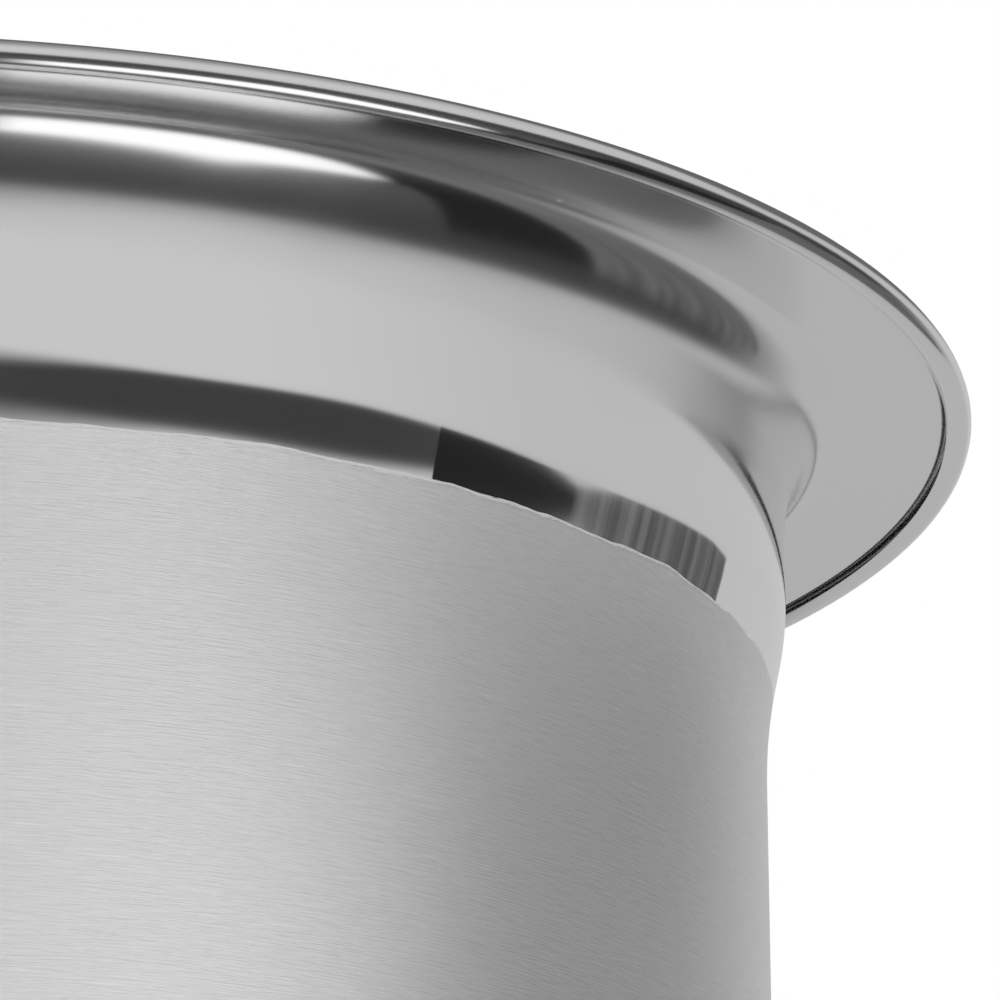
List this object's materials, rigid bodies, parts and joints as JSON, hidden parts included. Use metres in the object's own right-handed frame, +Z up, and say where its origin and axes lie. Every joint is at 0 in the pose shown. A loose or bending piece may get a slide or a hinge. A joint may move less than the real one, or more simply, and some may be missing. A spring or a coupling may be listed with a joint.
{
  "type": "champagne bucket stand",
  "caption": "Floor stand for wine service: a brushed steel bucket with a polished flared collar and rolled rim sits loose in a dish on a round-based column.",
  "frame": {"origin": "on the floor under the column's centre", "axes": "+Z up along the column; the object is round, so +X and +Y are arbitrary"},
  "size_m": [0.25, 0.25, 0.78],
  "materials": {
    "bucket_steel": "circumferentially brushed body, polished collar and rim",
    "polished_steel": "polished stainless steel with fine buffing lines",
    "column_steel": "brushed along the tube",
    "base_steel": "spun cover, circumferentially brushed",
    "cast_ballast": "as cast with a black wash",
    "zinc_plate": "zinc plated",
    "insert_steel": "turned steel",
    "fastener_steel": "stainless steel",
    "black_rubber": "matt black moulded rubber"
  },
  "bodies": {
    "stand": {"seat_dish": "polished_steel", "seat_pad": "black_rubber", "dish_screw": "fastener_steel", "dish_washer": "fastener_steel", "dish_hub": "polished_steel", "dish_spring_washer": "fastener_steel", "top_plug": "insert_steel", "upper_tube": "column_steel", "upper_joint_plug": "insert_steel", "joint_knop": "polished_steel", "joint_stud": "insert_steel", "lower_joint_plug": "insert_steel", "lower_tube": "column_steel", "bottom_plug": "insert_steel", "base_rosette": "polished_steel", "base_cover": "base_steel", "base_weight": "cast_ballast", "base_plate": "zinc_plate", "base_bolt": "fastener_steel", "base_spring_washer": "fastener_steel", "base_washer": "fastener_steel", "rubber_feet": "black_rubber", "foot_screws": "fastener_steel"},
    "bucket": {"bucket_shell": "bucket_steel"}
  },
  "joints": [
    {"name": "bucket_lift", "type": "slide", "parent": "stand", "child": "bucket", "axis": [0, 0, 1], "range_m": [0, 0.12]}
  ]
}
